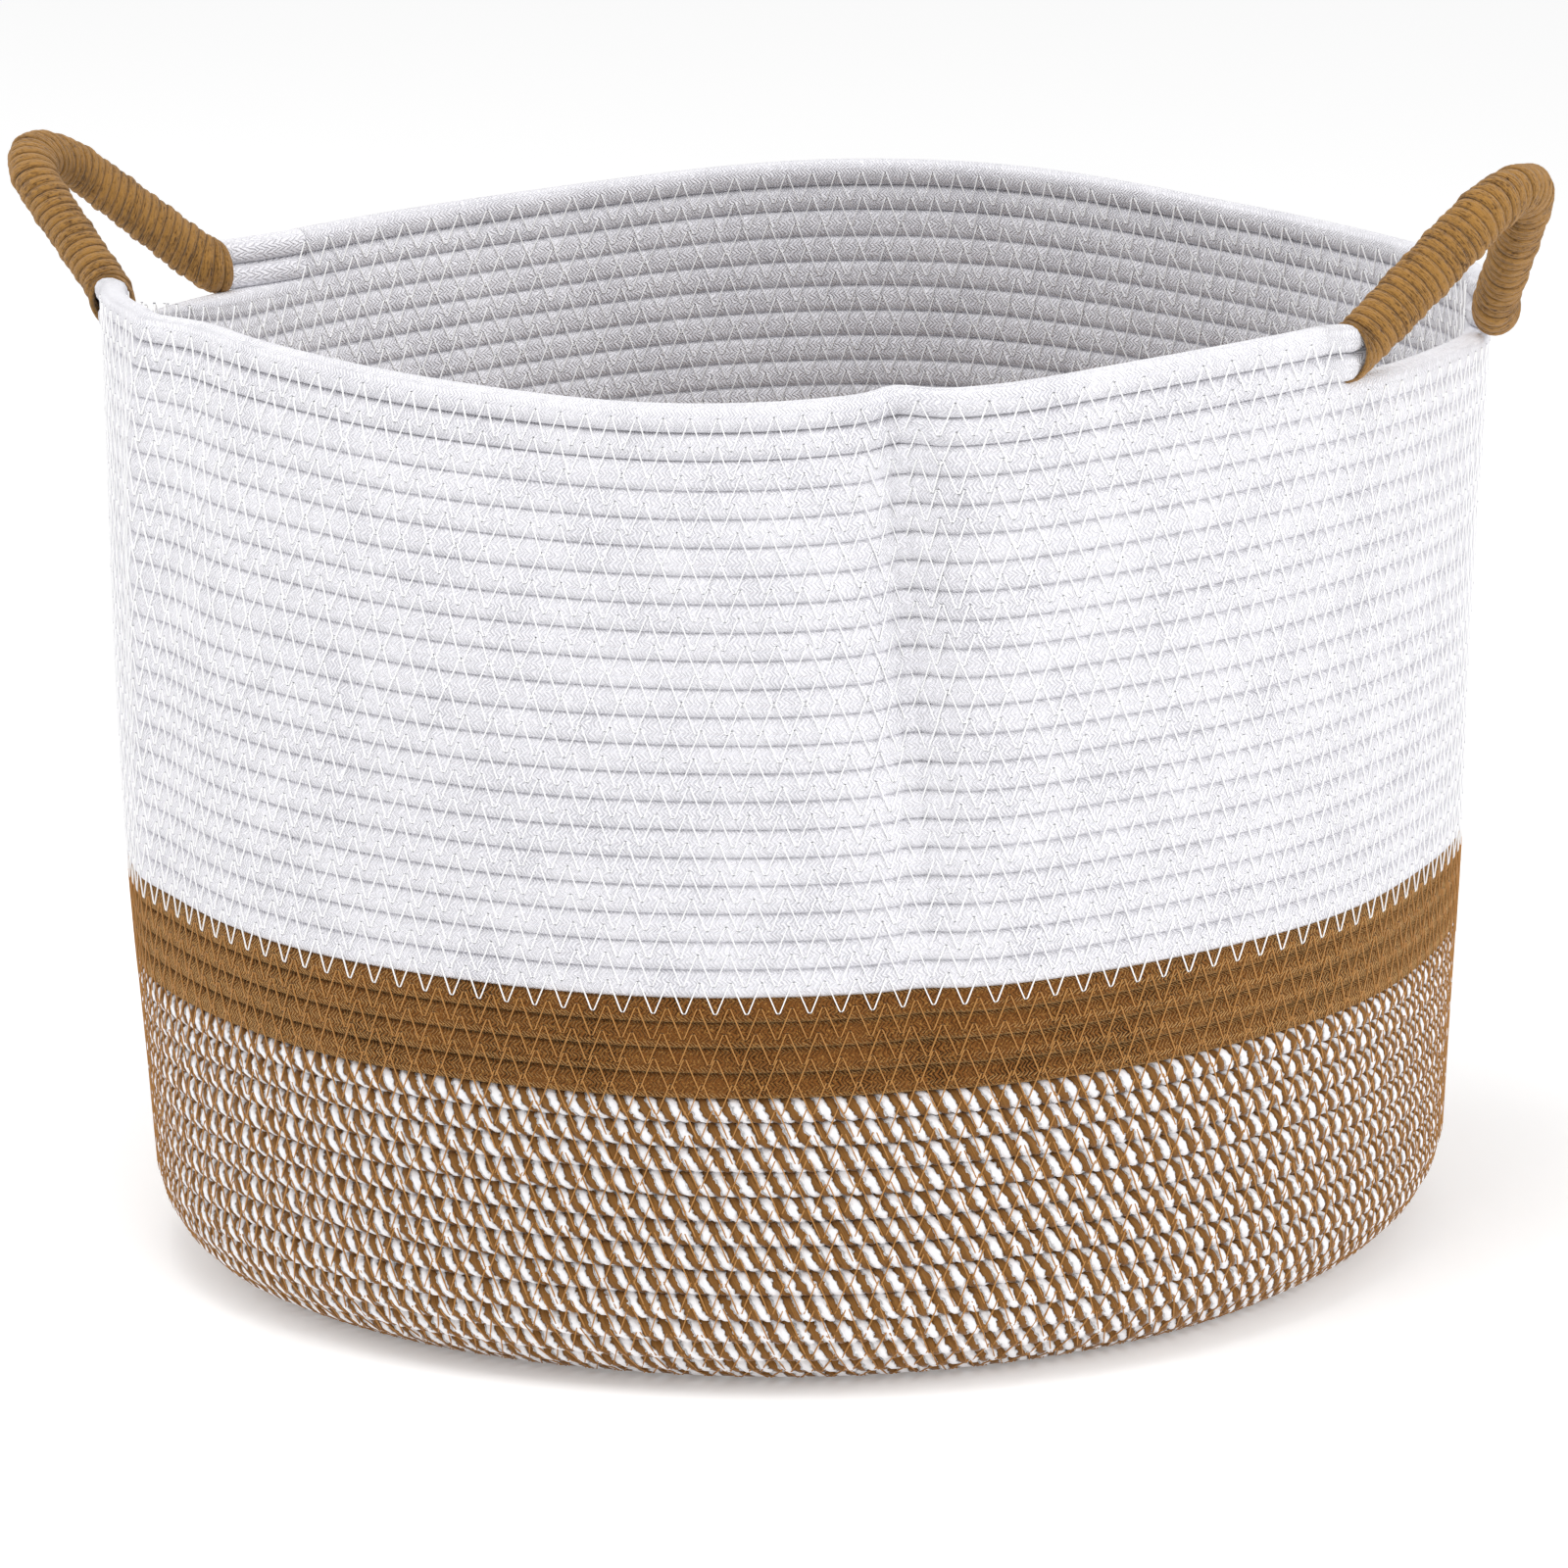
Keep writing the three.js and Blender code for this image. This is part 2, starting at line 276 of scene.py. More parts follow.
def coil(
    name,
    first,
    last,
    steps_per_turn,
    sides,
    finish,
    section,
    strand_lay=None,
    twisted=False,
    tail=False,
):
    """The rope from one turn to another. A twisted one turns its mesh with its strands, and
    a tail thins out over the last step instead of climbing it."""
    steps = round((last - first) * steps_per_turn)
    turns = np.linspace(first, last, steps + 1)
    climbs = climb_to(course_at(turns))
    run = length_along(coil_start + 2 * math.pi * turns, climbs)

    def turned(along, around):
        reached = np.interp(along, np.linspace(0, 1, steps + 1), run)
        return around - reached / strand_lay if twisted else around

    def place(along, around):
        at = first + (last - first) * along
        course = course_at(at)
        out, up = section(around, turned(along, around))
        if tail:
            stepped = np.clip(course - (last - 1), 0, 1)
            course = course - stepped / 2
            up = up * np.maximum(1 - stepped, 0.03)
            out = out * np.maximum(1 - stepped**3, 0.2)
        return on_basket(coil_start + 2 * math.pi * at, climb_to(course) + up, out)

    def pattern(along, around):
        reached = np.interp(along, np.linspace(0, 1, steps + 1), run)
        untwisted = strand_lay and not twisted
        return reached, around + reached / strand_lay if untwisted else around

    return cord_mesh(name, steps, sides, place, pattern, finish)


strand_lay = 0.0144  # length in which the four strands go once round the rope
strands = 4
strand_bulge = 0.13  # of the rope's radius, from a strand's crease to its crest


def two_tone_cotton():
    """Soft-spun cotton strands, two brown and two white: matt, with plump strands whose
    creases are darkened by painted shade in the base colour, and fine fibres along each."""
    finish = bpy.data.materials.new("two_tone_twisted_cotton")
    finish.use_nodes = True
    tree = finish.node_tree
    shader = tree.nodes["Principled BSDF"]
    lay = add_node(tree, "UVMap", {}, uv_map="Lay").outputs[0]
    parts = add_node(tree, "SeparateXYZ", {0: lay})
    object_place = add_node(tree, "TexCoord", {}).outputs["Object"]
    ragged = add_node(tree, "TexNoise", {"Vector": object_place, "Scale": 420, "Detail": 2})
    shift = add_node(
        tree, "MapRange", {0: ragged.outputs[0], 1: 0.3, 2: 0.7, 3: -0.17, 4: 0.17}
    )
    across = add_node(tree, "Math", {0: parts.outputs[1], 1: strands}, operation="MULTIPLY")
    across = add_node(tree, "Math", {0: across.outputs[0], 1: shift.outputs[0]}, operation="ADD")
    pair = add_node(tree, "Math", {0: across.outputs[0], 1: 2}, operation="FLOORED_MODULO")
    is_white = add_node(tree, "Math", {0: pair.outputs[0], 1: 0.9}, operation="GREATER_THAN")
    inside = add_node(tree, "Math", {0: across.outputs[0], 1: 1}, operation="FLOORED_MODULO")
    bulge = add_node(tree, "Math", {0: inside.outputs[0], 1: math.pi}, operation="MULTIPLY")
    bulge = add_node(tree, "Math", {0: bulge.outputs[0]}, operation="SINE")
    # Yarns of about 0.8 mm lie along each strand.
    length = add_node(tree, "Math", {0: parts.outputs[0], 1: 180}, operation="MULTIPLY")
    girth = add_node(tree, "Math", {0: parts.outputs[1], 1: 36}, operation="MULTIPLY")
    stretched = add_node(tree, "CombineXYZ", {0: length.outputs[0], 1: girth.outputs[0]})
    fibre = add_node(tree, "TexNoise", {"Vector": stretched.outputs[0], "Scale": 1, "Detail": 3})
    brown = add_node(
        tree,
        "Mix",
        {0: fibre.outputs[0], 6: linear("#4A2B10"), 7: linear("#A2723A")},
        data_type="RGBA",
    )
    white = add_node(
        tree,
        "Mix",
        {0: fibre.outputs[0], 6: linear("#EDEBEE"), 7: linear("#FEFEFF")},
        data_type="RGBA",
    )
    strand = add_node(
        tree,
        "Mix",
        {0: is_white.outputs[0], 6: brown.outputs[2], 7: white.outputs[2]},
        data_type="RGBA",
    )
    # Painted shade: the strand's colour is multiplied down to 0.42 towards its creases.
    crease = add_node(tree, "MapRange", {0: bulge.outputs[0], 1: 0.0, 2: 0.5, 3: 0.42, 4: 1})
    shaded = add_node(
        tree,
        "Mix",
        {0: 1.0, 6: strand.outputs[2], 7: crease.outputs[0]},
        data_type="RGBA",
        blend_type="MULTIPLY",
    )
    tree.links.new(shaded.outputs[2], shader.inputs["Base Color"])
    relief = add_node(
        tree,
        "Math",
        {0: fibre.outputs[0], 1: 0.45, 2: bulge.outputs[0]},
        operation="MULTIPLY_ADD",
    )
    bump = add_node(
        tree, "Bump", {"Strength": 0.7, "Distance": 0.0006, "Height": relief.outputs[0]}
    )
    tree.links.new(bump.outputs[0], shader.inputs["Normal"])
    shader.inputs["Roughness"].default_value = 0.92
    shader.inputs["Sheen Weight"].default_value = 0.35
    shader.inputs["Sheen Roughness"].default_value = 0.35
    shader.inputs["Specular IOR Level"].default_value = 0.2
    return finish


two_tone = two_tone_cotton()


def plain_two_tone(around, turned):
    return rope_section(turned, half_rope, half_up=0.00455, squareness=2.4)


def stranded_two_tone(around, turned):
    """Three points across each strand: its crease and its crest's two shoulders."""
    out, up = rope_section(turned, half_rope - 0.0003, half_up=0.00432, squareness=2.4)
    plump = 1 + strand_bulge * np.abs(np.sin(math.pi * strands * around)) ** 0.7
    return out * plump, up * plump


floor_coil = coil("floor_coil", 0.12, floor_turns, 90, 12, two_tone, plain_two_tone, strand_lay)
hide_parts("base_coil")
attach(floor_coil, "basket")


# ---- Two-tone band ----
# The same rope turns up round the corner and makes the wall's lower third. Here its plump
# strands show, so they are modelled: the strands' grooves run round with the mesh.

band_turns = 35
hidden_turns = floor_turns + 2  # to here it lies under the corner, hardly seen
half_way = 29  # the wall's two-tone rope is made in two lengths, which meet here
stranded_steps = 1230  # in a turn of the coil, about 1.2 mm each


def stranded_coil(name, first, last):
    return coil(
        name,
        first,
        last,
        stranded_steps,
        strands * 3,
        two_tone,
        stranded_two_tone,
        strand_lay,
        twisted=True,
    )


corner_courses = coil(
    "corner_coil", floor_turns, hidden_turns, 120, 12, two_tone, plain_two_tone, strand_lay
)
lower_courses = stranded_coil("two_tone_courses_low", hidden_turns, half_way)
upper_courses = stranded_coil("two_tone_courses_high", half_way, band_turns)
for piece in (corner_courses, lower_courses, upper_courses):
    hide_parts("lower_band_coil")
    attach(piece, "basket")


# ---- Brown band ----
# Four courses of plain brown rope: a soft cotton cord in a fine braided cover, whose strands
# make a close herringbone.

brown_turns = 4
braid_rows = 18  # rows of the herringbone round the rope, 1.7 mm each
braid_steps, braid_sides = 248, 18  # of the braided ropes' mesh, in a turn and round the rope


def braided_cotton(name, crease, mid, crown, relief_depth, fuzz_weight, fuzz_tint):
    """Braided cotton cover: matt and fuzzy, with rows of small slanted strands whose creases
    are darkened by painted shade in the base colour, and a bloom of loose fibres that catches light at
    its edges."""
    finish = bpy.data.materials.new(name)
    finish.use_nodes = True
    tree = finish.node_tree
    shader = tree.nodes["Principled BSDF"]
    lay = add_node(tree, "UVMap", {}, uv_map="Lay").outputs[0]
    parts = add_node(tree, "SeparateXYZ", {0: lay})
    object_place = add_node(tree, "TexCoord", {}).outputs["Object"]
    uneven = add_node(tree, "TexNoise", {"Vector": object_place, "Scale": 330, "Detail": 3})
    rows = add_node(tree, "Math", {0: parts.outputs[1], 1: braid_rows}, operation="MULTIPLY")
    slant = add_node(tree, "Math", {0: rows.outputs[0], 1: 1}, operation="PINGPONG")
    # One slanted strand each 1.6 mm along the rope.
    strand = add_node(tree, "Math", {0: parts.outputs[0], 1: 1 / 0.0016}, operation="MULTIPLY")
    strand = add_node(
        tree, "Math", {0: slant.outputs[0], 1: 1.1, 2: strand.outputs[0]}, operation="MULTIPLY_ADD"
    )
    wavy = add_node(
        tree, "Math", {0: uneven.outputs[0], 1: 1.8, 2: strand.outputs[0]}, operation="MULTIPLY_ADD"
    )
    turn = add_node(tree, "Math", {0: wavy.outputs[0], 1: 2 * math.pi}, operation="MULTIPLY")
    ridge = add_node(tree, "Math", {0: turn.outputs[0]}, operation="SINE")
    ridge = add_node(tree, "MapRange", {0: ridge.outputs[0], 1: -1.0, 2: 0.8, 3: 0, 4: 1})
    fuzz = add_node(tree, "TexNoise", {"Vector": object_place, "Scale": 1300, "Detail": 3})
    lumps = add_node(tree, "TexNoise", {"Vector": object_place, "Scale": 150, "Detail": 1})
    height = add_node(
        tree, "Math", {0: fuzz.outputs[0], 1: 0.8, 2: ridge.outputs[0]}, operation="MULTIPLY_ADD"
    )
    relief = add_node(
        tree, "Math", {0: lumps.outputs[0], 1: 2.2, 2: height.outputs[0]}, operation="MULTIPLY_ADD"
    )
    bump = add_node(
        tree, "Bump", {"Strength": 0.8, "Distance": relief_depth, "Height": relief.outputs[0]}
    )
    patches = add_node(tree, "TexNoise", {"Vector": object_place, "Scale": 45, "Detail": 5})
    tone = add_node(
        tree, "Math", {0: height.outputs[0], 1: 0.6, 2: patches.outputs[0]}, operation="MULTIPLY_ADD"
    )
    # Painted shade: low on the ramp the colour is the dark crease colour, painted into the hollows
    # between strands; random patches mottle it as well.
    ramp = add_node(tree, "ValToRGB", {0: tone.outputs[0]})
    ramp.color_ramp.elements[0].position = 0.62
    ramp.color_ramp.elements[0].color = linear(crease)
    ramp.color_ramp.elements[1].position = 1.0
    ramp.color_ramp.elements[1].color = linear(mid)
    flecks = add_node(tree, "MapRange", {0: fuzz.outputs[0], 1: 0.55, 2: 0.70, 3: 0, 4: 0.8})
    fibres = add_node(
        tree,
        "Mix",
        {0: flecks.outputs[0], 6: ramp.outputs[0], 7: linear(crown)},
        data_type="RGBA",
    )
    tree.links.new(fibres.outputs[2], shader.inputs["Base Color"])
    tree.links.new(bump.outputs[0], shader.inputs["Normal"])
    shader.inputs["Roughness"].default_value = 0.95
    shader.inputs["Sheen Weight"].default_value = fuzz_weight
    shader.inputs["Sheen Roughness"].default_value = 0.35
    shader.inputs["Sheen Tint"].default_value = linear(fuzz_tint)
    shader.inputs["Specular IOR Level"].default_value = 0.1
    return finish


# The first colour is the painted shade in the creases between the braid's strands.
brown_braid = braided_cotton(
    "brown_braided_cotton", "#2A1705", "#7E4F24", "#BC8A4A", 0.0008, 1.0, "#FFD090"
)


def brown_section(around, turned):
    return rope_section(turned, half_rope, half_up=0.00460, squareness=3.4)


white_first = band_turns + brown_turns
brown_band = coil(
    "brown_courses",
    band_turns,
    white_first,
    braid_steps,
    braid_sides,
    brown_braid,
    brown_section,
)
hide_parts("brown_band_coil")
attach(brown_band, "basket")


# ---- White band ----
# Nineteen courses of the same rope in white make the rest of the wall. Under the left handle
# the last of them thins out over the turn below, which leaves the wall's top level.

white_turns = 19
white_last = white_first + white_turns
# The first colour is the painted shade in the creases between the braid's strands.
white_braid = braided_cotton(
    "white_braided_cotton", "#D8D7DE", "#F7F6FB", "#FBFAFE", 0.0006, 0.4, "#FFFFFF"
)


def white_section(around, turned):
    return rope_section(turned, half_rope, half_up=0.00515, squareness=4.4)


white_band = coil(
    "white_courses",
    white_first,
    white_last,
    braid_steps,
    braid_sides,
    white_braid,
    white_section,
    tail=True,
)
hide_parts("white_band_coil")
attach(white_band, "basket")


# ---- Rim ----
# The two top courses run only between the handles' roots, front and back: there they leave
# the wall and go on as the handles' ropes.

root_angle = math.radians(15)
fold_level = 0.341
rim_courses = (white_last, white_last + 1)
root_radius = float(wall_radius(root_angle, fold_level) - softness(root_angle, fold_level))
root_y = root_radius * math.sin(root_angle)
rope_end = 0.012  # before the root, where the handle's own piece of the rope takes over
rim_pattern_length = 0.62  # a little over the rope's own 0.57 m
rim_steps, rim_sides = 140, 16


def rim_start(setback):
    """The angle from a handle's middle to its root and a setback further along Y."""
    return math.asin((root_y + setback) / root_radius)


def rim_rope(name, side, course):
    """side is -1 for the front and +1 for the back."""
    start = rim_start(rope_end)

    def place(along, around):
        angle = side * (start + (math.pi - 2 * start) * along)
        out, up = rope_section(around, half_rope, half_up=0.00493, squareness=2.5)
        return on_basket(angle, climb_to(course) + up, out)

    def pattern(along, around):
        return along * rim_pattern_length, around

    return cord_mesh(name, rim_steps, rim_sides, place, pattern, white_braid)


for side, name in ((-1, "front"), (1, "back")):
    for course, level in zip(rim_courses, ("lower", "upper")):
        rim = rim_rope(f"rim_{name}_{level}", side, course)
        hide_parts(f"rim_coil_{name}")
        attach(rim, "basket")


# ---- Zigzag stitching ----
# One thread follows the coil up the wall, crossing each seam from a needle hole in the course
# above to one in the course below. It is white on white courses and brown on the others.

stitch_length = 0.0106
stitch_reach = 0.0057  # of a V's points above and below its seam
thread_radius = 0.00030
hole_radius = 0.00055
wall_mean_radius = 0.235


def sewing_thread(name, colour, shade):
    """Spun polyester thread: a little smoother than the rope. It darkens where it dives into
    a needle hole, whose small shadow it carries."""
    finish = bpy.data.materials.new(name)
    finish.use_nodes = True
    tree = finish.node_tree
    shader = tree.nodes["Principled BSDF"]
    lay = add_node(tree, "UVMap", {}, uv_map="Lay").outputs[0]
    depth = add_node(tree, "SeparateXYZ", {0: lay}).outputs[0]
    object_place = add_node(tree, "TexCoord", {}).outputs["Object"]
    ply = add_node(tree, "TexNoise", {"Vector": object_place, "Scale": 1800, "Detail": 1})
    # Painted shadow: the colour turns to the shade colour where the thread sinks into a needle hole.
    sunk = add_node(tree, "MapRange", {0: depth, 1: 0.35, 2: 0.95, 3: 0, 4: 1})
    mixed = add_node(
        tree,
        "Mix",
        {0: sunk.outputs[0], 6: linear(colour), 7: linear(shade)},
        data_type="RGBA",
    )
    tree.links.new(mixed.outputs[2], shader.inputs["Base Color"])
    bump = add_node(tree, "Bump", {"Strength": 0.4, "Distance": 0.0001, "Height": ply.outputs[0]})
    tree.links.new(bump.outputs[0], shader.inputs["Normal"])
    shader.inputs["Roughness"].default_value = 0.6
    return finish


# The second colour of each thread is the painted shadow in its needle holes.
white_thread = sewing_thread("white_polyester_thread", "#FFFFFF", "#8E8D94")
brown_thread = sewing_thread("brown_polyester_thread", "#B07C3C", "#2E1A0A")

# Each stitch is a V: a hole below, up to a hole above, and down again, with a shoulder on
# both sides of each hole.
v_along = np.array([0, 0.06, 0.44, 0.5, 0.56, 0.94])
v_up = np.array([-1, -0.88, 0.88, 1, 0.88, -0.88])
v_hole = np.array([1.0, 0, 0, 1.0, 0, 0])
v_points = len(v_along)


def zigzag(name, seam_place, length, side, finish, lying=0.00016, sunk=0.00034):
    """seam_place gives (angle, climb) at a share of the seam; side is +1 outside the basket
    and -1 inside it. The thread's middle lies that far above the rope, or sunk into it."""
    stitches = round(length / stitch_length)
    steps = stitches * v_points
    whole = np.arange(steps + 1)
    corner_along = (whole // v_points + v_along[whole % v_points]) / stitches

    def stations(along):
        index = np.rint(along * steps).astype(int)
        return index, index % v_points

    def place(along, around):
        index, corner = stations(along)
        angle, climb = seam_place(corner_along[index])
        hole = v_hole[corner] > 0
        radius = np.where(hole, hole_radius, thread_radius)
        depth = np.where(hole, half_rope - sunk, half_rope + lying)
        turn = 2 * math.pi * (around + 0.125)
        sideways = radius * np.cos(turn) / wall_mean_radius
        out = side * (depth + radius * np.sin(turn))
        return on_basket(angle + sideways, climb + stitch_reach * v_up[corner], out)

    def pattern(along, around):
        _, corner = stations(along)
        return v_hole[corner], around

    return cord_mesh(name, steps, 4, place, pattern, finish)


def coil_seam(first, last):
    """The seam above the rope from one turn to another, and its length."""
    rows = np.linspace(first, last, 4000)
    run = length_along(coil_start + 2 * math.pi * rows, climb_to(course_at(rows) + 0.5))

    def seam_place(along):
        turns = np.interp(along * run[-1], run, rows)
        return coil_start + 2 * math.pi * turns, climb_to(course_at(turns) + 0.5)

    return seam_place, run[-1]


def sew(name, first, last, finish, node=None, lying=0.00016, sunk=0.00034):
    for side, where in ((1, "outside"), (-1, "inside")):
        seam_place, length = coil_seam(first, last)
        thread = zigzag(f"{name}_{where}", seam_place, length, side, finish, lying, sunk)
        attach(thread, "basket")
        if node:
            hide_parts(node)


# Under the floor the thread is pressed flush with the rope, so the basket stands on the rope.
sew("floor_stitches", 1.5, floor_turns, brown_thread, None, -0.0003, 0.0009)
# Among the plump strands of the two-tone rope the thread lies lower and dives deeper.
# Each band's last seam joins it to the next band, in whose thread it is sewn.
last_brown, last_two_tone, last_white = white_first - 1, band_turns - 1, white_last - 1
sew("two_tone_stitches", floor_turns, last_two_tone, brown_thread, None, 0.00004, 0.0013)
sew("brown_stitches", last_two_tone, last_brown, brown_thread, "brown_seam_thread")
sew("white_stitches", last_brown, last_white, white_thread, "white_seam_thread")


def rim_seam(side, course):
    start = rim_start(rope_end * 0.5)

    def seam_place(along):
        angle = side * (start + (math.pi - 2 * start) * along)
        return angle, np.full_like(angle, climb_to(course))

    path = on_basket(seam_place(np.linspace(0, 1, 200))[0], climb_to(course), 0)
    return seam_place, np.linalg.norm(np.diff(path, axis=0), axis=1).sum()


for side, name in ((-1, "front"), (1, "back")):
    for course, level in zip(rim_courses, ("lower", "upper")):
        for face, where in ((1, "outside"), (-1, "inside")):
            seam_place, length = rim_seam(side, course - 0.5)
            thread = zigzag(
                f"rim_stitches_{name}_{level}_{where}", seam_place, length, face, white_thread
            )
            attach(thread, "basket")


# ---- Handles ----
# At each root the rim's two ropes turn up and out of the wall, and between the roots they are
# bound together with brown yarn, wound tightly round both. The near end of the right handle
# is twisted, so that its broad side faces forwards.

foot_bend, top_bend = 0.012, 0.028
bare_rope = 0.0005  # that shows between a root and the yarn
rope_overlap = 0.012  # in radians round the rim, where the rim's rope hides the handle's
rim_share = 0.4  # of the handle's piece of rope that lies in the rim
inside_yarn = 0.034  # length of rope that runs up inside the yarn
root_pattern_length = 0.05
wrap_half_height, wrap_half_width = 0.0102, 0.0082


class Arch:
    """A handle: two roots on the wall, each an angle round it and how far out it is pulled,
    the arch's rise and lean, and how far its front leg is twisted."""

    def __init__(self, side, front, back, rise, lean, twist):
        self.side, self.rise, self.lean, self.twist = side, rise, math.radians(lean), twist
        self.roots = (front, back)
        climb = fold_level - corner_radius + corner_length
        foot, other = (
            Vector(on_basket(math.radians(angle), climb, out)) for angle, out in (front, back)
        )
        along = (other - foot).normalized()
        up = (Vector((0, 0, 1)) - along * along.z).normalized()
        upright = Matrix((along.cross(up), along, up)).transposed()
        leaned = upright @ Matrix.Rotation(side * self.lean, 3, "Y")
        self.axes, self.middle = np.array(leaned), np.array((foot + other) / 2)
        self.half_span = (other - foot).length / 2
        self.feet = {-1: foot, 1: other}
        bends = foot_bend + top_bend
        leg_angle = math.atan2(self.half_span, bends - rise) - math.acos(
            bends / math.hypot(self.half_span, bends - rise)
        )
        self.leg_angle = leg_angle
        self.leg = (self.half_span - bends * math.sin(leg_angle)) / math.cos(leg_angle)
        self.top_arc = top_bend * leg_angle
        self.half_length = foot_bend * leg_angle + self.leg + self.top_arc

    def middle_line(self, from_top):
        """Place along Y and Z, and slope, at a distance from the top."""
        distance = np.abs(from_top)
        side = np.sign(from_top)
        on_top = np.minimum(distance, self.top_arc) / top_bend
        on_leg = np.clip(distance - self.top_arc, 0, self.leg)
        foot = np.maximum((self.half_length - distance) / foot_bend, 0)
        y = top_bend * np.sin(on_top) + on_leg * math.cos(self.leg_angle)
        down = top_bend * (1 - np.cos(on_top)) + on_leg * math.sin(self.leg_angle)
        in_foot = distance > self.top_arc + self.leg
        y = np.where(in_foot, self.half_span - foot_bend * np.sin(foot), y)
        down = np.where(in_foot, self.rise - foot_bend * (1 - np.cos(foot)), down)
        slope = np.where(in_foot, foot, on_top)
        return side * y, self.rise - down, -side * slope

    def point(self, from_top, outward, sideways):
        """A point beside the middle line. Near the roots the ropes still lie one above the
        other as in the wall, so the section turns upright there."""
        y, z, slope = self.middle_line(from_top)
        share_down = np.clip(np.abs(from_top) / self.half_length, 0, 1)
        turn = 0.8 * self.lean * share_down**1.5
        turn = turn + np.where(from_top < 0, self.twist * np.sin(math.pi * share_down**0.8), 0)
        normal = outward * np.cos(turn) + self.side * sideways * np.sin(turn)
        lateral = sideways * np.cos(turn) - self.side * outward * np.sin(turn)
        local = np.stack(
            [lateral, y - normal * np.sin(slope), z + normal * np.cos(slope)], axis=-1
        )
        return local @ self.axes.T + self.middle


def spun_yarn():
    """Soft-spun brown cotton yarn: fibrous and matt, with painted shade that leaves it lighter
    on its fuzzy crowns and darker in the creases between the windings."""
    finish = bpy.data.materials.new("brown_cotton_yarn")
    finish.use_nodes = True
    tree = finish.node_tree
    shader = tree.nodes["Principled BSDF"]
    lay = add_node(tree, "UVMap", {}, uv_map="Lay").outputs[0]
    parts = add_node(tree, "SeparateXYZ", {0: lay})
    object_place = add_node(tree, "TexCoord", {}).outputs["Object"]
    # Fibres lie along the yarn: ten times longer than they are wide.
    length = add_node(tree, "Math", {0: parts.outputs[0], 1: 260}, operation="MULTIPLY")
    girth = add_node(tree, "Math", {0: parts.outputs[1], 1: 26}, operation="MULTIPLY")
    fibres = add_node(tree, "CombineXYZ", {0: length.outputs[0], 1: girth.outputs[0]})
    fibre = add_node(tree, "TexNoise", {"Vector": fibres.outputs[0], "Scale": 1, "Detail": 4})
    fuzz = add_node(tree, "TexNoise", {"Vector": object_place, "Scale": 800, "Detail": 3})
    patches = add_node(tree, "TexNoise", {"Vector": object_place, "Scale": 90, "Detail": 3})
    blend = add_node(
        tree, "Math", {0: fuzz.outputs[0], 1: 0.5, 2: fibre.outputs[0]}, operation="MULTIPLY_ADD"
    )
    tone = add_node(
        tree, "Math", {0: patches.outputs[0], 1: 0.5, 2: blend.outputs[0]}, operation="MULTIPLY_ADD"
    )
    ramp = add_node(tree, "ValToRGB", {0: tone.outputs[0]})
    ramp.color_ramp.elements[0].position = 0.74
    ramp.color_ramp.elements[0].color = linear("#452809")
    ramp.color_ramp.elements[1].position = 1.0
    ramp.color_ramp.elements[1].color = linear("#A97C3E")
    # The V coordinate runs round the yarn: painted shade darkens it from its two edges,
    #     where windings meet, inwards.
    edge = add_node(tree, "Math", {0: parts.outputs[1], 1: 2}, operation="MULTIPLY")
    edge = add_node(tree, "Math", {0: edge.outputs[0], 1: 1}, operation="PINGPONG")
    edge = add_node(
        tree, "Math", {0: patches.outputs[0], 1: 0.35, 2: edge.outputs[0]}, operation="MULTIPLY_ADD"
    )
    shade = add_node(tree, "MapRange", {0: edge.outputs[0], 1: 0.6, 2: 1.15, 3: 1, 4: 0.6})
    shaded = add_node(
        tree,
        "Mix",
        {0: 1.0, 6: ramp.outputs[0], 7: shade.outputs[0]},
        data_type="RGBA",
        blend_type="MULTIPLY",
    )
    tree.links.new(shaded.outputs[2], shader.inputs["Base Color"])
    bump = add_node(
        tree, "Bump", {"Strength": 1.0, "Distance": 0.0012, "Height": blend.outputs[0]}
    )
    tree.links.new(bump.outputs[0], shader.inputs["Normal"])
    shader.inputs["Roughness"].default_value = 0.95
    shader.inputs["Sheen Weight"].default_value = 0.2
    shader.inputs["Specular IOR Level"].default_value = 0.15
    return finish


brown_yarn = spun_yarn()
winding_pitch = 0.0037
winding_length = 0.052
yarn_half_width, yarn_half_thickness = 0.0020, 0.0010
steps_per_winding = 28


def yarn_wrap(name, arch):
    """The yarn's windings, one long cord wound round both ropes from root to root."""
    reach = arch.half_length - bare_rope
    windings = round(2 * reach / winding_pitch)
    steps = windings * steps_per_winding
    oval_height = wrap_half_height - yarn_half_thickness
    oval_width = wrap_half_width - yarn_half_thickness

    def place(along, around):
        turn = 2 * math.pi * windings * along
        section = 2 * math.pi * around
        thick = yarn_half_thickness * np.cos(section)
        wide = yarn_half_width * np.sin(section)
        uneven = 1 + 0.03 * np.sin(along * windings * 2.4) + 0.02 * np.sin(along * windings * 5.1)
        end = np.minimum(along, 1 - along) * windings
        collar = 0.0006 * np.exp(-((end / 1.3) ** 2))
        outward = oval_height * uneven * np.cos(turn)
        sideways = oval_width * uneven * np.sin(turn)
        normal = np.stack([np.cos(turn) / oval_height, np.sin(turn) / oval_width])
        normal /= np.linalg.norm(normal, axis=0)
        outward = outward + normal[0] * (thick + collar)
        sideways = sideways + normal[1] * (thick + collar)
        slanted = sideways * 0.22 + outward * 0.10
        from_top = -reach + 2 * reach * along + wide + slanted * arch.side
        return arch.point(from_top, outward, sideways)

    def pattern(along, around):
        return along * windings * winding_length, around

    return cord_mesh(name, steps, 8, place, pattern, brown_yarn)


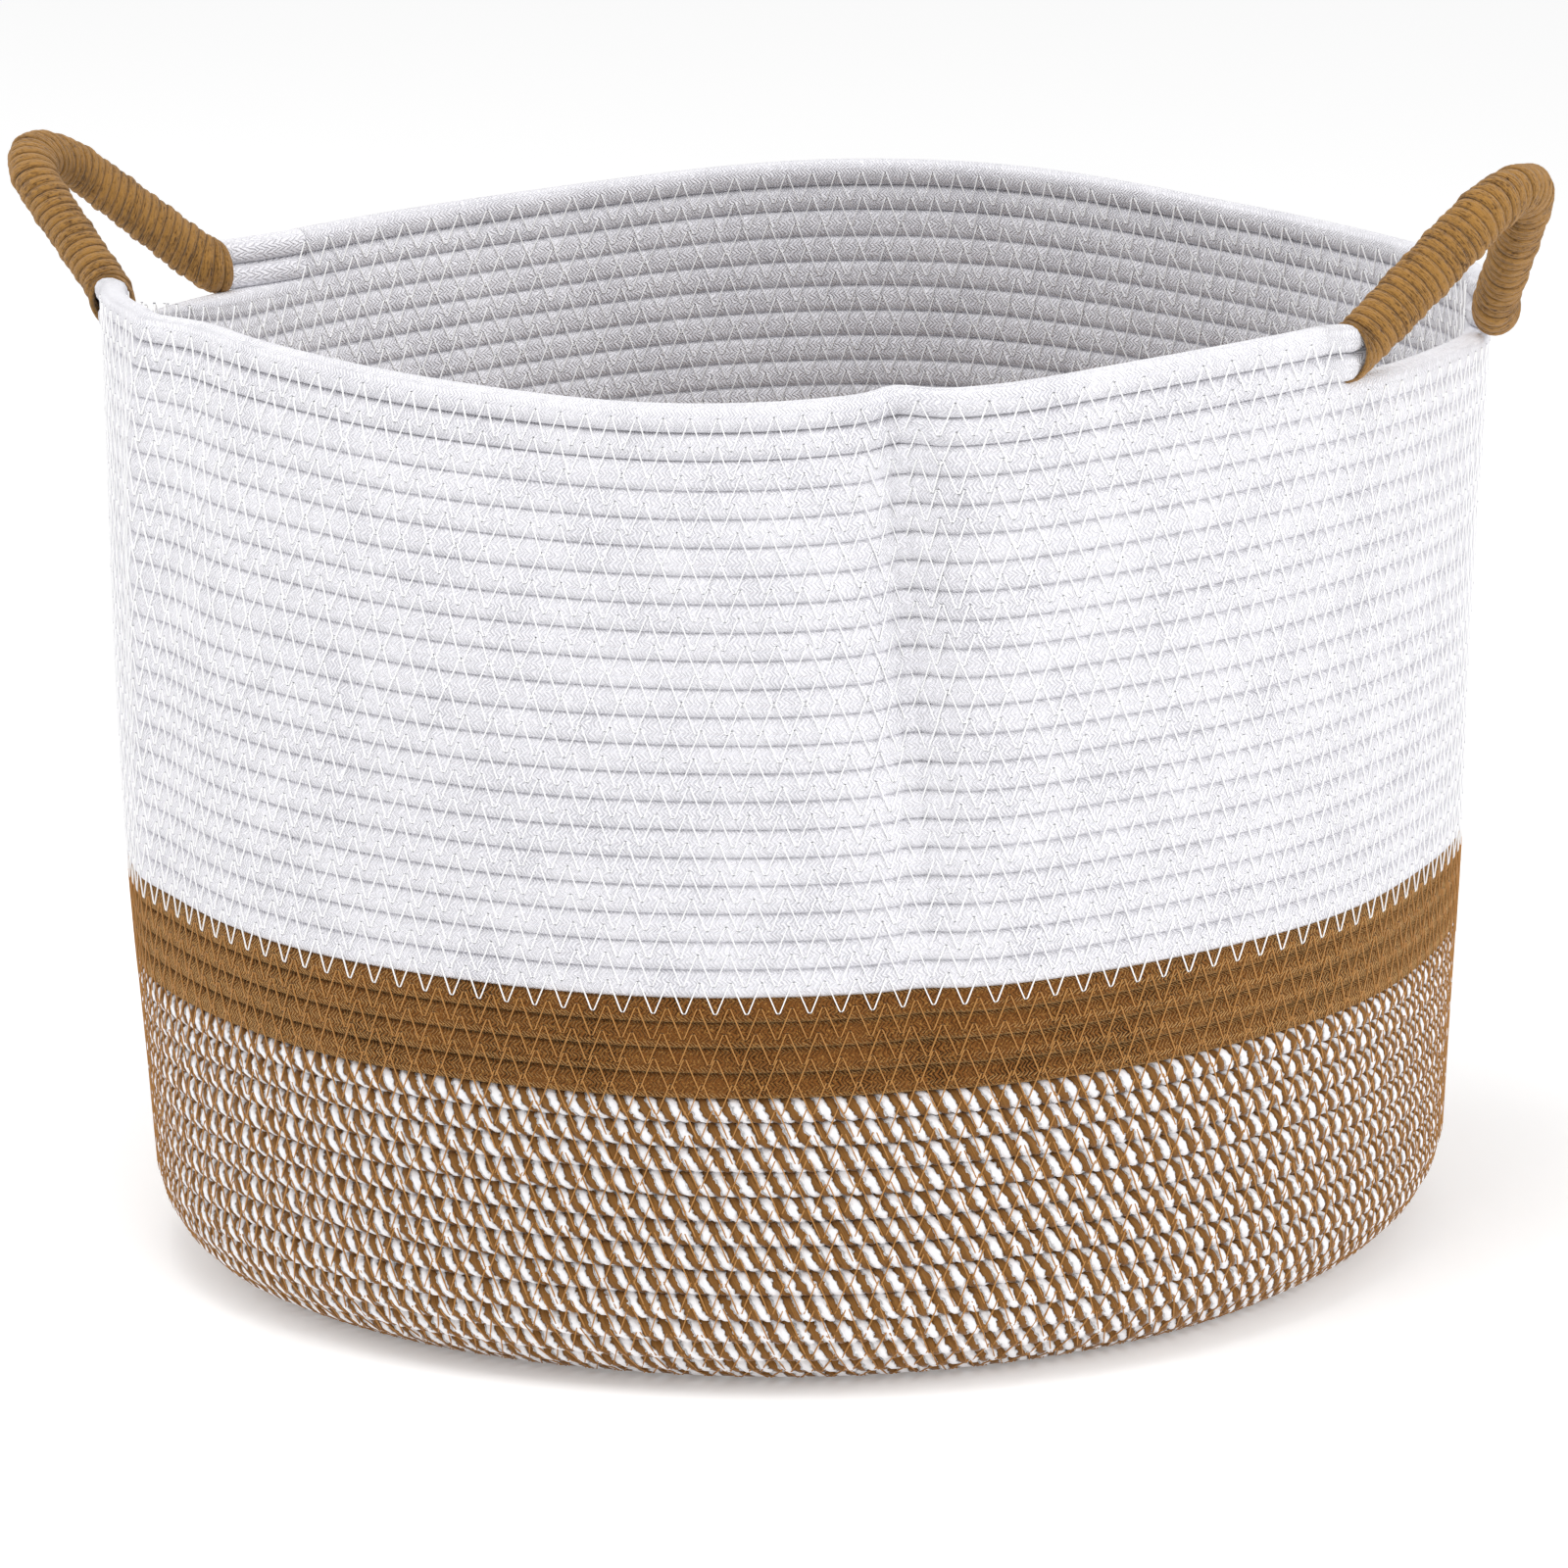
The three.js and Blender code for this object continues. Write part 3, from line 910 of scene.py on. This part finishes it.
def bare_ropes(name, arch, end):
    """The two ropes at one root: they come out of the rim's courses and run up inside the
    yarn. end is -1 at the front and +1 at the back."""
    pieces = []
    in_rim_start = rim_start(rope_end) + rope_overlap
    root, pulled_out = arch.roots[0 if end < 0 else 1]
    root = math.radians(root)
    start = end * in_rim_start if arch.side > 0 else math.pi - end * in_rim_start
    for level, stack in (("lower", -1), ("upper", 1)):

        def place(along, around):
            in_rim = np.clip(1 - along / rim_share, 0, 1)
            on_arch = np.clip((along - rim_share) / (1 - rim_share), 0, 1)
            angle = root + (start - root) * in_rim
            out, up = rope_section(around, half_rope - 0.00006, half_up=0.00487, squareness=2.5)
            course = rim_courses[0] if stack < 0 else rim_courses[1]
            leaving = pulled_out * (1 - in_rim) ** 2
            rim_place = on_basket(angle, climb_to(course) + up, out + leaving)
            from_top = end * (arch.half_length - inside_yarn * on_arch)
            out, up = rope_section(around, 0.0055, 0.0039 + 0.0009 * (1 - on_arch) ** 3, 2.6)
            shift = stack * (0.00405 + 0.0008 * (1 - on_arch) ** 3)
            arch_place = arch.point(from_top, up + shift, arch.side * out)
            mixing = np.clip((along - 0.25) / 0.3, 0, 1)
            mixing = (mixing * mixing * (3 - 2 * mixing))[:, None]
            return rim_place * (1 - mixing) + arch_place * mixing

        def pattern(along, around):
            return along * root_pattern_length, around

        pieces.append(cord_mesh(f"{name}_{level}", 30, 16, place, pattern, white_braid))
    return pieces


right_arch = Arch(1, (-16, 0.003), (13, 0.009), 0.062, 34, 0.85)
left_arch = Arch(-1, (196.5, 0.0025), (170.5, 0.006), 0.067, 47, 0.0)
for arch, hand in ((right_arch, "right"), (left_arch, "left")):
    body = f"{hand}_handle"
    wrap = yarn_wrap(f"{hand}_handle_yarn", arch)
    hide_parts(f"{hand}_handle_wrap")
    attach(wrap, body)
    for end, root in ((-1, "front"), (1, "back")):
        for rope, level in zip(
            bare_ropes(f"{hand}_{root}_rope", arch, end), ("lower", "upper")
        ):
            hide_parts(f"{hand}_handle_{level}_rope")
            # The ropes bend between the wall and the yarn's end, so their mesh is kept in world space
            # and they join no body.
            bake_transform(rope)
